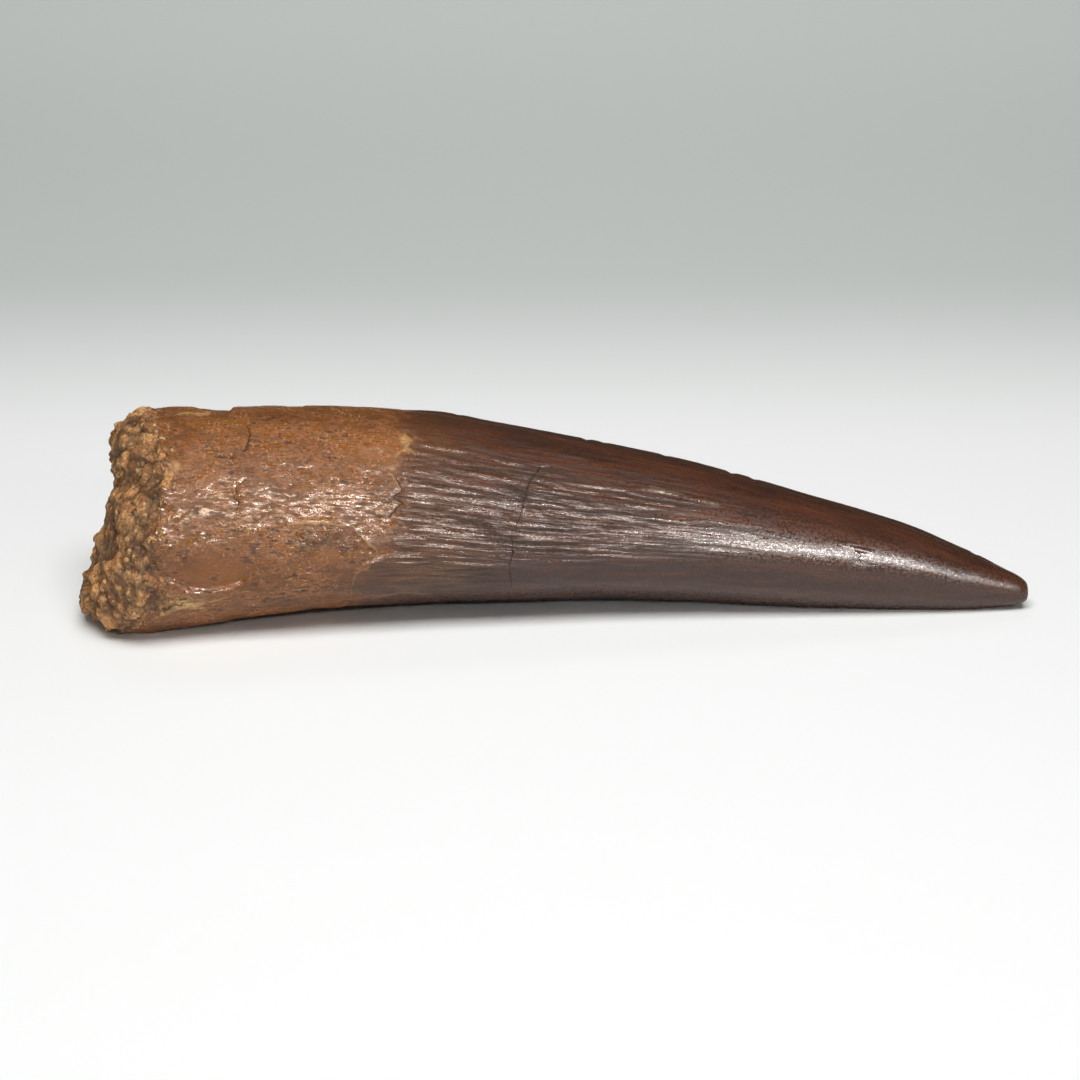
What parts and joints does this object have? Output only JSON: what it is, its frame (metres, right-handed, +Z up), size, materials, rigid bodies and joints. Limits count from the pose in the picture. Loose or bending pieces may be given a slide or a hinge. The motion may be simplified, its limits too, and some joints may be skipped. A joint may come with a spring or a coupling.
{
  "type": "fossil spinosaurus tooth",
  "caption": "Fossil conical tooth with a dark fluted crown, a brown root and sandstone lumps on its broken end, lying on its side.",
  "frame": {"origin": "middle of the bounding box, on the table it lies on", "axes": "+X along the tooth from the broken root to the tip, +Z up from the table"},
  "size_m": [0.12, 0.027, 0.0259],
  "materials": {
    "tooth": "satin fossil dentine and enamel"
  },
  "bodies": {
    "root": {"tooth": "tooth"}
  },
  "joints": []
}
